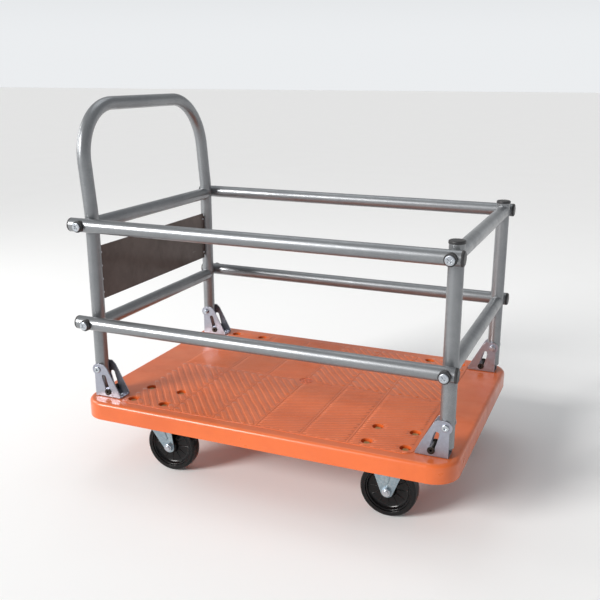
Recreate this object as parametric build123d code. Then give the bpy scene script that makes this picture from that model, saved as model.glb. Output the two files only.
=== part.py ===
from build123d import *
import os
from math import cos, pi, sin

# Folding platform cart: a moulded deck on four casters, a U-shaped push handle and a front gate that
# hinge in brackets on the deck, and two side rails a side that tie the handle to the gate.
# Millimetres. +X points from the handle towards the front, +Y to the left of the person pushing, +Z up.
# The model is drawn with X = 0 at the middle of the deck and Z = 0 on the floor; every piece is shifted
# along X when it is saved, so that the origin lies on the floor under the middle of the whole cart.

# Deck
deck_length = 914.0
deck_width = 650.0
panel_rise = 1.0            # load face above the smooth border
panel_thickness = 5.0
skirt_height = 43.0
skirt_wall = 5.0
deck_corner = 58.0
deck_edge_radius = 9.0
bracket_border = 3.0         # smooth border between the brackets and the load face
load_margin_y = 28.0
load_corner = 24.0
rib_wall = 4.0
rib_depth = 20.0
rib_count_x = 11
rib_count_y = 7
pad_depth = 24.0            # solid mounting pads under the top panel
pad_margin = 6.0
badge_diameter = 38.0
badge_thickness = 2.0
badge_sink = 0.2

# Tubes of the handle, gate and rails
tube_radius = 16.0
tube_wall = 1.6
post_inset = 58.0           # side of the deck to the middle of the handle's legs and the gate posts
handle_inset = 28.0         # rear edge of the deck to the middle of the handle's legs
gate_inset = 32.0           # front edge of the deck to the middle of the gate posts
post_foot = 18.0            # lower end of each leg above the deck
lower_bar_z = 181.0         # bar and rail heights above the deck
upper_bar_z = 422.0
lower_rail_z = 189.0
upper_rail_z = 424.0
handle_bend_z = 446.0
handle_top_z = 691.0
handle_lean = 20.0          # how far the grip stands behind the legs
handle_corner = 130.0
handle_bend_radius = 300.0
gate_top_z = 446.0
rail_rear_overhang = 30.0
rail_front_overhang = 18.0

# Handle plate
plate_bottom_z = 235.0
plate_height = 131.0
plate_thickness = 1.5
plate_notch_width = 5.0
plate_notch_height = 10.0
tab_width = 16.0
tab_height = 18.0
tab_thickness = 2.0
tabs_per_side = 4
rivet_radius = 1.6
rivet_head_radius = 3.0
rivet_head = 1.2

# Hinge brackets, measured from the hinge pin: inward is towards the middle of the deck
hinge_z = 67.0
bracket_outer = 9.0
bracket_inner = 61.0
bracket_toe = 7.0
shoulder_inner = 25.0
shoulder_drop = 8.0
shoulder_run = 9.0
lobe_radius = 14.5
cheek_thickness = 3.0
cheek_gap = 0.5             # between each cheek and the tube
slot_width = 12.0
slot_low_reach = 11.0       # low end of the slot, inward past the face of the tube
slot_low_z = 13.0           # and above the deck
slot_high_reach = 1.0
slot_high_z = 50.0
lock_pin_clearance = 0.5
lock_pin_bore = 3.0
lock_flange_radius = 8.0
lock_flange = 2.2
screw_inward = (6.0, 50.0)
screw_radius = 3.0
screw_head_radius = 5.5
screw_head = 3.2

# Bolts and fits
bolt_radius = 4.0
bolt_head_flats = 13.0
bolt_head = 5.0
nut_height = 6.5
button_radius = 8.0         # low round head of the hinge bolts
button_height = 3.6
button_round = 2.4
button_socket_flats = 5.5
button_socket_depth = 2.4
rail_head_radius = 10.0     # broad round head of the rail bolts, with a cross recess
rail_head = 4.5
rail_head_round = 1.6
cross_length = 11.0
cross_width = 2.2
cross_depth = 1.8
running_gap = 0.08
open_pivot_gap = 0.5        # front rail bolts in the rail, the pivot where the linkage is opened
face_gap = 0.3
bush_wall = 2.0
insert_flange = 1.5
insert_flange_radius = 7.0
insert_wall = 1.5
insert_depth = 12.0
saddle_radius = 13.0
saddle_thickness = 7.0
plug_depth = 12.0
plug_cap = 6.0
plug_round = 4.0
cap_overhang = 1.2
cap_height = 6.5
cap_round = 3.0

# Casters
caster_inset_x = 160.0      # ends of the deck to the middle of the mounting plates
caster_inset_y = 94.0       # sides of the deck to the same
wheel_headroom = 26.0       # top of the wheel to the deck's mounting pads
caster_bolts_x = 86.0
caster_bolts_y = 80.0
caster_plate_length = 112.0
caster_plate_width = 104.0
caster_plate_corner = 9.0
caster_plate = 3.0
pocket_radius = 13.0
pocket_depth = 9.0
trail = 40.0
wheel_radius = 65.0
wheel_width = 32.0
tyre_depth = 12.5
tyre_shoulder = 5.0
rim_width = 27.0
rim_depth = 5.0
web_thickness = 9.0
web_ribs = 6
web_rib_wall = 4.0
hub_radius = 17.0
hub_gap = 1.2               # each side, between hub and fork leg
bearing_wall = 5.0
axle_radius = 6.0
axle_flats = 18.0
axle_head = 7.0
fork_gap = 4.0              # each side, between wheel and fork leg
fork_metal = 3.0
fork_lug_radius = 14.0
fork_crown_drop = 17.0      # crown of the swivel fork below its top plate
crown_half_length = 38.0
fixed_leg_half_length = 50.0
leg_rib_height = 2.5
kingpin_radius = 6.0
kingpin_flats = 19.0
kingpin_nut = 7.0
race_radius = 30.0
race_bore = 13.0
ball_circle = 22.0
ball_radius = 3.0
ball_count = 14
race_gap = 1.5
dust_ring_wall = 2.5
dust_ring_height = 8.0

# Worked out from the sizes above
pad_bottom = 2 * wheel_radius + wheel_headroom
border_z = pad_bottom + pad_depth + panel_thickness
deck_top = border_z + panel_rise            # load face above the floor
handle_x = handle_inset - deck_length / 2
gate_x = deck_length / 2 - gate_inset
post_y = deck_width / 2 - post_inset
load_margin_x = gate_inset + bracket_inner + bracket_border
caster_x = deck_length / 2 - caster_inset_x
caster_y = deck_width / 2 - caster_inset_y
rail_y = post_y + 2 * tube_radius + insert_flange + face_gap
washer_face_y = rail_y + tube_radius + saddle_thickness
bolt_head_y = washer_face_y + face_gap
hinge_height = deck_top + hinge_z
cheek_inner = tube_radius + cheek_gap
cheek_outer = cheek_inner + cheek_thickness
bush_radius = bolt_radius + running_gap + bush_wall
insert_radius = bolt_radius + insert_wall
lock_pin_radius = slot_width / 2 - lock_pin_clearance
slot_low = (tube_radius + slot_low_reach, slot_low_z)
slot_high = (tube_radius + slot_high_reach, slot_high_z)
plate_bottom = pad_bottom - caster_plate
crown_top = plate_bottom - fork_crown_drop + fork_metal
leg_inner = wheel_width / 2 + fork_gap
leg_outer = leg_inner + fork_metal
rail_rear_end = handle_x - rail_rear_overhang
rail_front_end = gate_x + rail_front_overhang
cart_rear = min(-deck_length / 2, rail_rear_end - plug_cap)
cart_front = max(deck_length / 2, rail_front_end + plug_cap)
middle_shift = -(cart_rear + cart_front) / 2
sides = {"left": 1, "right": -1}


def save(name, *solids):
    """Write one named piece, or a group of like pieces, shifted into the cart's own frame."""
    placed = [Pos(middle_shift, 0, 0) * solid for piece in solids for solid in piece.solids()]
    export_step(placed[0] if len(placed) == 1 else Compound(children=placed), f"parts/{name}.step")


def rod(start, end, radius):
    """Solid round bar between two points."""
    along = Vector(*end) - Vector(*start)
    return Solid.make_cylinder(radius, along.length, Plane(origin=start, z_dir=along))


def pipe(start, end, radius, bore):
    return rod(start, end, radius) - rod(start, end, bore)


def hex_prism(start, direction, flats, height):
    """Hexagon of the given width across flats, standing on start."""
    outline = RegularPolygon(flats / 2, 6, major_radius=False)
    return extrude(Plane(origin=start, z_dir=direction) * outline, height)


def domed_hex(start, direction, flats, height):
    """Bolt head or nut with its outer corners turned down."""
    corner = flats / 3 ** 0.5
    turned = fillet(Cylinder(corner, 2 * height).edges().group_by(Axis.Z)[-1], corner * 0.2)
    return hex_prism(start, direction, flats, height) & (Plane(origin=start, z_dir=direction) * turned)


def round_head(start, direction, radius, height, rounding):
    """Low round bolt head, its outer edge rounded over."""
    head = Pos(0, 0, height / 2) * Cylinder(radius, height)
    head = fillet(head.edges().group_by(Axis.Z)[-1], rounding)
    return Plane(origin=start, z_dir=direction) * head


def leg_hull(points, circle_centre, circle_radius, y_near, y_far):
    """Flat fork leg: the outline stretched round its top corners and its axle lug."""
    lug = Pos(circle_centre[0], circle_centre[1]) * Circle(circle_radius)
    outline = make_hull(lug.edges() + Polyline(*points).edges())
    return extrude(Plane.XZ.offset(-y_near) * outline, -(y_far - y_near))


def deck():
    """Moulded tray turned upside down: top panel, skirt, ribs and solid pads where metal bolts on."""
    outline = RectangleRounded(deck_length, deck_width, deck_corner)
    inside_length = deck_length - 2 * skirt_wall
    inside = RectangleRounded(inside_length, deck_width - 2 * skirt_wall, deck_corner - skirt_wall)
    underside = border_z - panel_thickness
    body = extrude(Plane.XY.offset(border_z) * outline, -skirt_height)
    body = fillet(body.edges().group_by(Axis.Z)[-1], deck_edge_radius)
    body -= extrude(Plane.XY.offset(underside) * inside, -skirt_height)
    load_face = RectangleRounded(deck_length - 2 * load_margin_x, deck_width - 2 * load_margin_y, load_corner)
    body += extrude(Plane.XY.offset(border_z) * load_face, panel_rise)

    rib_z = underside - rib_depth / 2
    for index in range(rib_count_x):
        x = (index + 1) * deck_length / (rib_count_x + 1) - deck_length / 2
        body += Pos(x, 0, rib_z) * Box(rib_wall, deck_width - skirt_wall, rib_depth)
    for index in range(rib_count_y):
        y = (index + 1) * deck_width / (rib_count_y + 1) - deck_width / 2
        body += Pos(0, y, rib_z) * Box(deck_length - skirt_wall, rib_wall, rib_depth)

    pad_z = underside - pad_depth / 2
    for x, y in caster_places():
        pad = Box(caster_plate_length + pad_margin, caster_plate_width + pad_margin, pad_depth)
        body += Pos(x, y, pad_z) * pad
    for x, y, inward in bracket_places():
        pad_middle = x + inward * (bracket_inner - bracket_outer) / 2
        pad = Box(bracket_inner + bracket_outer, 2 * cheek_outer, pad_depth)
        body += Pos(pad_middle, y, pad_z) * pad

    for x, y in caster_bolt_places():
        body -= rod((x, y, pad_bottom), (x, y, deck_top), bolt_radius)
        body -= rod((x, y, deck_top - pocket_depth), (x, y, deck_top + 1), pocket_radius)
    for x, y in screw_places():
        body -= rod((x, y, pad_bottom), (x, y, border_z), screw_radius)
    body -= rod((0, 0, deck_top - badge_sink - badge_thickness), (0, 0, deck_top + 1), badge_diameter / 2)
    return body


def badge():
    top = deck_top - badge_sink
    return rod((0, 0, top - badge_thickness), (0, 0, top), badge_diameter / 2)


def caster_places():
    return [(x, y) for x in (-caster_x, caster_x) for y in (-caster_y, caster_y)]


def caster_bolt_places():
    corners = [(dx, dy) for dx in (-1, 1) for dy in (-1, 1)]
    return [(x + dx * caster_bolts_x / 2, y + dy * caster_bolts_y / 2)
            for x, y in caster_places() for dx, dy in corners]


def bracket_places():
    """Hinge positions with the direction towards the middle of the deck."""
    return [(x, side * post_y, inward) for x, inward in ((handle_x, 1), (gate_x, -1)) for side in (1, -1)]


def screw_places():
    return [(x + inward * offset, y) for x, y, inward in bracket_places() for offset in screw_inward]


def caster_bolt(x, y):
    seat = deck_top - pocket_depth
    shank = rod((x, y, plate_bottom - nut_height - 2), (x, y, seat), bolt_radius)
    return shank + domed_hex((x, y, seat), (0, 0, 1), bolt_head_flats, bolt_head)


def caster_nut(x, y):
    nut = domed_hex((x, y, plate_bottom), (0, 0, -1), bolt_head_flats, nut_height)
    return nut - rod((x, y, plate_bottom - nut_height), (x, y, plate_bottom), bolt_radius)


def bracket(x, y, inward):
    """Pressed U: two cheeks on a floor plate, with a hinge hole and an oblique slot in each cheek."""
    top = hinge_z + lobe_radius + panel_rise
    lobe_height = hinge_z + panel_rise
    corners = [(-bracket_outer, 0), (bracket_inner, 0), (bracket_inner, bracket_toe),
               (shoulder_inner, top - shoulder_drop), (shoulder_inner - shoulder_run, top), (0, top),
               (0, lobe_height), (-bracket_outer, lobe_height)]
    outline = make_face(Polyline(*corners, close=True))
    for corner, radius in ((corners[3], 8.0), (corners[2], 5.0)):
        nearest = outline.vertices().sort_by_distance((corner[0], corner[1], 0))[0]
        outline = fillet(nearest, radius)
    outline += Pos(0, lobe_height) * Circle(lobe_radius)
    body = extrude(Plane.XZ * outline, cheek_outer, both=True)
    body = fillet(body.edges().filter_by(Axis.X).group_by(Axis.Z)[0], cheek_thickness * 0.8)
    inside = Pos(0, 0, cheek_thickness + top / 2) * Box(4 * bracket_inner, 2 * cheek_inner, top)
    body -= inside
    body -= rod((0, -cheek_outer, lobe_height), (0, cheek_outer, lobe_height), bolt_radius)
    slot = slot_face(slot_width / 2)
    body -= extrude(Plane.XZ * slot, 2 * cheek_outer, both=True)
    for offset in screw_inward:
        body -= rod((offset, 0, 0), (offset, 0, cheek_thickness), screw_radius)
    if inward < 0:
        body = mirror(body, about=Plane.YZ)
    return Pos(x, y, border_z) * body


def slot_face(radius):
    """Oblique slot in the bracket's own plane, from its low end to its high end."""
    ends = [(end[0], end[1] + panel_rise) for end in (slot_low, slot_high)]
    return make_hull((Pos(*ends[0]) * Circle(radius)).edges() + (Pos(*ends[1]) * Circle(radius)).edges())


def bracket_screw(x, y):
    seat = border_z + cheek_thickness
    shank = rod((x, y, pad_bottom + 3), (x, y, seat), screw_radius)
    head = Pos(x, y, seat + screw_head / 2) * Cylinder(screw_head_radius, screw_head)
    head = fillet(head.edges().group_by(Axis.Z)[-1], screw_head * 0.6)
    drive = hex_prism((x, y, seat + screw_head * 0.4), (0, 0, 1), screw_radius * 1.3, screw_head)
    return shank + head - drive


def hinge_bolt(x, side):
    face = side * (post_y + cheek_outer)
    end = side * (post_y - cheek_outer - nut_height - 2)
    seat = (x, face, hinge_height)
    socket_floor = (x, face + side * (button_height - button_socket_depth), hinge_height)
    bolt = rod((x, end, hinge_height), seat, bolt_radius)
    bolt += round_head(seat, (0, side, 0), button_radius, button_height, button_round)
    return bolt - hex_prism(socket_floor, (0, side, 0), button_socket_flats, button_height)


def hinge_nut(x, side):
    face = side * (post_y - cheek_outer)
    nut = domed_hex((x, face, hinge_height), (0, -side, 0), bolt_head_flats, nut_height)
    return nut - rod((x, face, hinge_height), (x, face - side * nut_height, hinge_height), bolt_radius)


def slot_pin(x, side, inward):
    """Hollow pin across both cheeks at the low end of their slots, held in by a flange at each end."""
    pin_x = x + inward * slot_low[0]
    pin_z = deck_top + slot_low[1]
    reach = cheek_outer + face_gap + lock_flange
    middle = side * post_y
    pin = rod((pin_x, middle - reach, pin_z), (pin_x, middle + reach, pin_z), lock_pin_radius)
    for end in (-1, 1):
        near = middle + end * (cheek_outer + face_gap)
        pin += rod((pin_x, near, pin_z), (pin_x, near + end * lock_flange, pin_z), lock_flange_radius)
    return pin - rod((pin_x, middle - reach, pin_z), (pin_x, middle + reach, pin_z), lock_pin_bore)


def handle_path():
    """Both legs and the grip as one bent line, legs upright below the bend and leaning back above it."""
    low = deck_top + post_foot
    bend = deck_top + handle_bend_z
    top = deck_top + handle_top_z
    grip_x = handle_x - handle_lean
    points = [(handle_x, -post_y, low), (handle_x, -post_y, bend), (grip_x, -post_y, top),
              (grip_x, post_y, top), (handle_x, post_y, bend), (handle_x, post_y, low)]
    radii = [handle_bend_radius, handle_corner, handle_corner, handle_bend_radius]
    return FilletPolyline(*points, radius=radii)


def tab_heights():
    pitch = plate_height / tabs_per_side
    return [deck_top + plate_bottom_z + (index + 0.5) * pitch for index in range(tabs_per_side)]


def rivet_places():
    rivet_y = post_y - tube_radius - tab_width / 2
    return [(side * rivet_y, z) for side in (1, -1) for z in tab_heights()]


def handle_tube():
    path = handle_path()
    foot = Plane(origin=path @ 0, z_dir=path % 0)
    body = sweep(foot * Circle(tube_radius), path=path)
    tab_x = handle_x - plate_thickness / 2 - tab_thickness / 2
    tab_reach = tube_radius + tab_width
    for y, z in rivet_places():
        side = 1 if y > 0 else -1
        body += Pos(tab_x, side * (post_y - tab_reach / 2), z) * Box(tab_thickness, tab_reach, tab_height)
    body -= sweep(foot * Circle(tube_radius - tube_wall), path=path)
    for side in sides.values():
        body -= bush_hole(handle_x, side)
        for z in (lower_rail_z, upper_rail_z):
            body -= insert_hole(handle_x, side, z)
    for y, z in rivet_places():
        body -= rod((tab_x - tab_thickness, y, z), (tab_x + tab_thickness, y, z), rivet_radius)
    return body


def bush_hole(x, side):
    y = side * post_y
    return rod((x, y - tube_radius, hinge_height), (x, y + tube_radius, hinge_height), bush_radius)


def insert_hole(x, side, z):
    height = deck_top + z
    outer = side * (post_y + tube_radius)
    return rod((x, side * post_y, height), (x, outer, height), insert_radius)


def bush(x, side):
    y = side * post_y
    start = (x, y - tube_radius, hinge_height)
    end = (x, y + tube_radius, hinge_height)
    return pipe(start, end, bush_radius, bolt_radius + running_gap)


def cross_bar(x, z):
    """Bar between two legs, its ends shaped to the round of the legs."""
    bar = pipe((0, -post_y, 0), (0, post_y, 0), tube_radius, tube_radius - tube_wall)
    for side in sides.values():
        leg_y = side * post_y
        bar -= rod((0, leg_y, -2 * tube_radius), (0, leg_y, 2 * tube_radius), tube_radius)
    return Pos(x, 0, deck_top + z) * bar


def thread_insert(x, side, z):
    """Flanged thread insert in the outer wall of a leg, which the rail bolt screws into."""
    height = deck_top + z
    face = side * (post_y + tube_radius)
    flange = rod((x, face, height), (x, face + side * insert_flange, height), insert_flange_radius)
    body = rod((x, face, height), (x, face - side * insert_depth, height), insert_radius)
    bore_start = (x, face + side * insert_flange, height)
    bore_end = (x, face - side * insert_depth, height)
    return flange + body - rod(bore_start, bore_end, bolt_radius)


def rail_bolt(x, side, z):
    height = deck_top + z
    tip = (x, side * (post_y + tube_radius - insert_depth), height)
    seat = (x, side * bolt_head_y, height)
    bolt = rod(tip, seat, bolt_radius)
    bolt += round_head(seat, (0, side, 0), rail_head_radius, rail_head, rail_head_round)
    recess = Pos(x, side * (bolt_head_y + rail_head), height)
    bolt -= recess * Rot(0, 45, 0) * Box(cross_length, 2 * cross_depth, cross_width)
    return bolt - recess * Rot(0, -45, 0) * Box(cross_length, 2 * cross_depth, cross_width)


def handle_plate():
    width = 2 * (post_y - tube_radius) - face_gap
    middle = deck_top + plate_bottom_z + plate_height / 2
    body = Pos(handle_x, 0, middle) * Box(plate_thickness, width, plate_height)
    for side in sides.values():
        for end in (-1, 1):
            corner = Pos(handle_x, side * width / 2, middle + end * plate_height / 2)
            body -= corner * Box(2 * plate_thickness, 2 * plate_notch_width, 2 * plate_notch_height)
    for y, z in rivet_places():
        body -= rod((handle_x - plate_thickness, y, z), (handle_x + plate_thickness, y, z), rivet_radius)
    return body


def rivet(y, z):
    front = handle_x + plate_thickness / 2
    back = handle_x - plate_thickness / 2 - tab_thickness
    head = Pos(front + rivet_head / 2, y, z) * Rot(0, 90, 0) * Cylinder(rivet_head_radius, rivet_head)
    head = fillet(head.edges().group_by(Axis.X)[-1], rivet_head * 0.7)
    tail = rod((back - rivet_head, y, z), (back, y, z), rivet_head_radius * 0.8)
    return rod((back, y, z), (front, y, z), rivet_radius) + head + tail


def gate_post(side):
    y = side * post_y
    low = (gate_x, y, deck_top + post_foot)
    high = (gate_x, y, deck_top + gate_top_z)
    body = pipe(low, high, tube_radius, tube_radius - tube_wall)
    body -= bush_hole(gate_x, side)
    for z in (lower_rail_z, upper_rail_z):
        body -= insert_hole(gate_x, side, z)
    return body


def gate_cap(side):
    top = deck_top + gate_top_z
    y = side * post_y
    cap = Pos(gate_x, y, top + cap_height / 2) * Cylinder(tube_radius + cap_overhang, cap_height)
    cap = fillet(cap.edges().group_by(Axis.Z)[-1], cap_round)
    return cap + rod((gate_x, y, top - plug_depth), (gate_x, y, top), tube_radius - tube_wall)


def rail(side, z):
    height = deck_top + z
    y = side * rail_y
    body = pipe((rail_rear_end, y, height), (rail_front_end, y, height), tube_radius, tube_radius - tube_wall)
    for x, gap in ((handle_x, running_gap), (gate_x, open_pivot_gap)):
        body -= rod((x, y - tube_radius, height), (x, y + tube_radius, height), bolt_radius + gap)
    return body


def rail_fittings(side, z):
    """End plugs of one rail, and the saddle washers under its two bolt heads."""
    height = deck_top + z
    y = side * rail_y
    pieces = []
    for end, outward in ((rail_rear_end, -1), (rail_front_end, 1)):
        cap = Pos(end + outward * plug_cap / 2, y, height) * Rot(0, 90, 0) * Cylinder(tube_radius, plug_cap)
        outer_edge = cap.edges().group_by(Axis.X)[-1 if outward > 0 else 0]
        cap = fillet(outer_edge, plug_round)
        stem = rod((end, y, height), (end - outward * plug_depth, y, height), tube_radius - tube_wall)
        pieces.append(cap + stem)
    for x, gap in ((handle_x, running_gap), (gate_x, open_pivot_gap)):
        washer = rod((x, y, height), (x, side * washer_face_y, height), saddle_radius)
        washer -= rod((x - saddle_radius, y, height), (x + saddle_radius, y, height), tube_radius)
        washer -= rod((x, y, height), (x, side * washer_face_y, height), bolt_radius + gap)
        pieces.append(washer)
    return pieces


def caster_top_plate(x, y):
    outline = RectangleRounded(caster_plate_length, caster_plate_width, caster_plate_corner)
    body = extrude(Plane.XY.offset(plate_bottom) * outline, caster_plate)
    for dx in (-1, 1):
        for dy in (-1, 1):
            place = (dx * caster_bolts_x / 2, dy * caster_bolts_y / 2)
            body -= rod((*place, plate_bottom), (*place, pad_bottom), bolt_radius)
    return Pos(x, y, 0) * body


def swivel_plate(x, y):
    """Top plate of a swivel caster, with the dust ring that hangs round the ball race."""
    ring_radius = race_radius + 1 + dust_ring_wall
    body = caster_top_plate(x, y) - rod((x, y, plate_bottom), (x, y, pad_bottom), kingpin_radius)
    return body + pipe((x, y, plate_bottom - dust_ring_height), (x, y, plate_bottom), ring_radius,
                       ring_radius - dust_ring_wall)


def kingpin(x, y):
    crown_bottom = crown_top - fork_metal - face_gap
    shank = rod((x, y, crown_bottom), (x, y, pad_bottom), kingpin_radius)
    return shank + domed_hex((x, y, crown_bottom), (0, 0, -1), kingpin_flats, kingpin_nut)


def swivel_balls(x, y):
    balls = []
    for index in range(ball_count):
        turn = 2 * pi * index / ball_count
        place = Pos(x + ball_circle * cos(turn), y + ball_circle * sin(turn), plate_bottom - ball_radius)
        balls.append(place * Sphere(ball_radius))
    return balls


def leg_rib(points, y_face, outward):
    """Formed stiffening rib, standing off the outer face of a fork leg."""
    ends = [(Pos(*point) * Circle(radius)).edges() for point, radius in points]
    outline = make_hull(ends[0] + ends[1])
    face = Plane.XZ.offset(-y_face) * outline
    rib = extrude(face, -outward * leg_rib_height)
    return fillet(rib.edges().group_by(Axis.Y)[-1 if outward > 0 else 0], leg_rib_height * 0.8)


def swivel_fork(x, y):
    """Crown plate with the lower ball race on it, and two legs that trail to the axle."""
    crown_bottom = crown_top - fork_metal
    half_length = crown_half_length
    crown = Box(2 * half_length, 2 * leg_outer, fork_metal)
    body = Pos(half_length * 0.1, 0, crown_top - fork_metal / 2) * crown
    top_points = [(-half_length * 0.9, crown_top), (half_length * 1.1, crown_top)]
    rib_points = (((trail * 0.3, crown_bottom - 7), 8.0), ((trail * 0.8, wheel_radius + 22), 5.0))
    for side in (1, -1):
        low_y, high_y = sorted((side * leg_inner, side * leg_outer))
        body += leg_hull(top_points, (trail, wheel_radius), fork_lug_radius, low_y, high_y)
        body += leg_rib(rib_points, side * leg_outer, side)
    race_top = plate_bottom - race_gap
    body += rod((0, 0, crown_top), (0, 0, race_top), race_radius)
    body -= rod((0, 0, crown_bottom), (0, 0, crown_top), kingpin_radius + running_gap)
    body -= rod((0, 0, crown_top), (0, 0, race_top), race_bore)
    body -= Pos(0, 0, plate_bottom - ball_radius) * Torus(ball_circle, ball_radius + face_gap)
    body -= rod((trail, -leg_outer, wheel_radius), (trail, leg_outer, wheel_radius), axle_radius)
    return Pos(x, y, 0) * body


def fixed_fork(x, y):
    """One pressing: mounting plate and two symmetrical legs down to the axle."""
    half_length = fixed_leg_half_length
    body = caster_top_plate(0, 0)
    top_points = [(-half_length, pad_bottom - caster_plate / 2), (half_length, pad_bottom - caster_plate / 2)]
    rib_points = (((0, plate_bottom - 16), 9.0), ((0, wheel_radius + 24), 5.0))
    for side in (1, -1):
        low_y, high_y = sorted((side * leg_inner, side * leg_outer))
        body += leg_hull(top_points, (0, wheel_radius), fork_lug_radius, low_y, high_y)
        body += leg_rib(rib_points, side * leg_outer, side)
    body -= rod((0, -leg_outer, wheel_radius), (0, leg_outer, wheel_radius), axle_radius)
    return Pos(x, y, 0) * body


def axle(x, y):
    """Axle bolt with its head on the inner side of the caster, and its nut on the outer side."""
    outward = 1 if y > 0 else -1
    head_face = (x, y - outward * leg_outer, wheel_radius)
    nut_face = (x, y + outward * leg_outer, wheel_radius)
    tip = (x, y + outward * (leg_outer + axle_head + 3), wheel_radius)
    bolt = rod(head_face, tip, axle_radius)
    bolt += domed_hex(head_face, (0, -outward, 0), axle_flats, axle_head)
    nut = domed_hex(nut_face, (0, outward, 0), axle_flats, axle_head) - rod(nut_face, tip, axle_radius)
    return [bolt, nut]


def wheel_bearing(x, y):
    half = leg_inner - hub_gap
    bore = axle_radius + running_gap
    return pipe((x, y - half, wheel_radius), (x, y + half, wheel_radius), bore + bearing_wall, bore)


def wheel_core(x, y):
    """Moulded wheel centre: hub, web with ribs, and the rim that carries the tyre."""
    rim_radius = wheel_radius - tyre_depth
    bore = axle_radius + running_gap + bearing_wall
    half_hub = leg_inner - hub_gap
    centre = (0, 0, 0)
    body = rod((0, -half_hub, 0), (0, half_hub, 0), hub_radius)
    body += rod((0, -web_thickness / 2, 0), (0, web_thickness / 2, 0), rim_radius)
    body += pipe((0, -rim_width / 2, 0), (0, rim_width / 2, 0), rim_radius, rim_radius - rim_depth)
    spoke_length = rim_radius - rim_depth - hub_radius + 2
    for index in range(web_ribs):
        spoke = Pos(hub_radius - 1 + spoke_length / 2, 0, 0) * Box(spoke_length, rim_width - 6, web_rib_wall)
        body += Rot(0, 360 * index / web_ribs, 0) * spoke
    body -= rod((0, -half_hub, 0), (0, half_hub, 0), bore)
    return Pos(x, y, wheel_radius) * body


def tyre(x, y):
    ring = rod((0, -wheel_width / 2, 0), (0, wheel_width / 2, 0), wheel_radius)
    ring = fillet(ring.edges().filter_by(GeomType.CIRCLE), tyre_shoulder)
    ring -= rod((0, -wheel_width / 2, 0), (0, wheel_width / 2, 0), wheel_radius - tyre_depth)
    return Pos(x, y, wheel_radius) * ring


def build_base():
    save("deck", deck())
    save("deck_badge", badge())
    save("caster_bolts", *[caster_bolt(x, y) for x, y in caster_bolt_places()])
    save("caster_nuts", *[caster_nut(x, y) for x, y in caster_bolt_places()])
    ends = {1: "rear", -1: "front"}
    for x, y, inward in bracket_places():
        side = "left" if y > 0 else "right"
        save(f"{ends[inward]}_{side}_bracket", bracket(x, y, inward))
    save("bracket_screws", *[bracket_screw(x, y) for x, y in screw_places()])
    hinges = [(x, side) for x in (handle_x, gate_x) for side in sides.values()]
    save("hinge_bolts", *[hinge_bolt(x, side) for x, side in hinges])
    save("hinge_nuts", *[hinge_nut(x, side) for x, side in hinges])
    save("gate_stop_pins", *[slot_pin(gate_x, side, -1) for side in sides.values()])
    for name, side in sides.items():
        save(f"{name}_lock_pin", slot_pin(handle_x, side, 1))


def build_casters():
    rear = [(-caster_x, side * caster_y) for side in sides.values()]
    front = [(caster_x, side * caster_y) for side in sides.values()]
    save("kingpins", *[kingpin(x, y) for x, y in rear])
    save("swivel_balls", *[ball for x, y in rear for ball in swivel_balls(x, y)])
    save("front_axles", *[piece for x, y in front for piece in axle(x, y)])
    for name, side in sides.items():
        y = side * caster_y
        save(f"{name}_swivel_plate", swivel_plate(-caster_x, y))
        save(f"{name}_swivel_fork", swivel_fork(-caster_x, y))
        save(f"{name}_rear_axle", *axle(-caster_x + trail, y))
        save(f"{name}_fixed_fork", fixed_fork(caster_x, y))
        for end, x in (("rear", -caster_x + trail), ("front", caster_x)):
            save(f"{end}_{name}_tyre", tyre(x, y))
            save(f"{end}_{name}_wheel_core", wheel_core(x, y))
            save(f"{end}_{name}_bearing", wheel_bearing(x, y))


def build_handle():
    both_sides = list(sides.values())
    rail_places = [(side, z) for side in both_sides for z in (lower_rail_z, upper_rail_z)]
    save("handle_tube", handle_tube())
    save("handle_bars", *[cross_bar(handle_x, z) for z in (lower_bar_z, upper_bar_z)])
    save("handle_plate", handle_plate())
    save("plate_rivets", *[rivet(y, z) for y, z in rivet_places()])
    save("handle_bushes", *[bush(handle_x, side) for side in both_sides])
    save("handle_inserts", *[thread_insert(handle_x, side, z) for side, z in rail_places])
    save("rear_rail_bolts", *[rail_bolt(handle_x, side, z) for side, z in rail_places])


def build_gate():
    both_sides = list(sides.values())
    rail_places = [(side, z) for side in both_sides for z in (lower_rail_z, upper_rail_z)]
    for name, side in sides.items():
        save(f"gate_{name}_post", gate_post(side))
    save("gate_bars", *[cross_bar(gate_x, z) for z in (lower_rail_z, upper_rail_z)])
    save("gate_caps", *[gate_cap(side) for side in both_sides])
    save("gate_bushes", *[bush(gate_x, side) for side in both_sides])
    save("gate_inserts", *[thread_insert(gate_x, side, z) for side, z in rail_places])
    save("front_rail_bolts", *[rail_bolt(gate_x, side, z) for side, z in rail_places])


def build_rails():
    for name, side in sides.items():
        for level, z in (("lower", lower_rail_z), ("upper", upper_rail_z)):
            save(f"{name}_{level}_rail", rail(side, z))
            save(f"{name}_{level}_rail_fittings", *rail_fittings(side, z))


if __name__ == "__main__":
    os.makedirs("parts", exist_ok=True)
    build_base()
    build_casters()
    build_handle()
    build_gate()
    build_rails()
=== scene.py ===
from math import cos, hypot, pi, radians, sin

import bpy
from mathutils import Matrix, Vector, noise


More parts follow.
